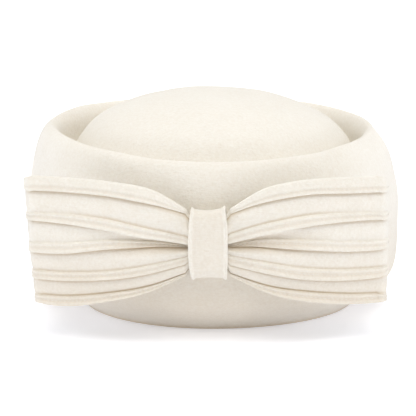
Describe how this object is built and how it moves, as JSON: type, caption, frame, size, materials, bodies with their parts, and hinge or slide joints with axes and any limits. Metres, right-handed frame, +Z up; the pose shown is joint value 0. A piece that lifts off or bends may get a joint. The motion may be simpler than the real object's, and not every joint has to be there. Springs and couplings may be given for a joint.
{
  "type": "pillbox hat",
  "caption": "Oval felt pillbox hat with a rolled rim, a groove round a domed tip, and a wide tucked felt bow gathered by a knot across the front.",
  "frame": {"origin": "middle of the hat's footprint box, on the surface it stands on", "axes": "+Z up through the domed tip, -Y to the front where the bow is, +X to the right seen from the front"},
  "size_m": [0.223, 0.2614, 0.1262],
  "materials": {
    "cream_felt": "matt wool felt with a short nap"
  },
  "bodies": {
    "root": {"felt_body": "cream_felt", "bow": "cream_felt", "bow_knot": "cream_felt"}
  },
  "joints": []
}
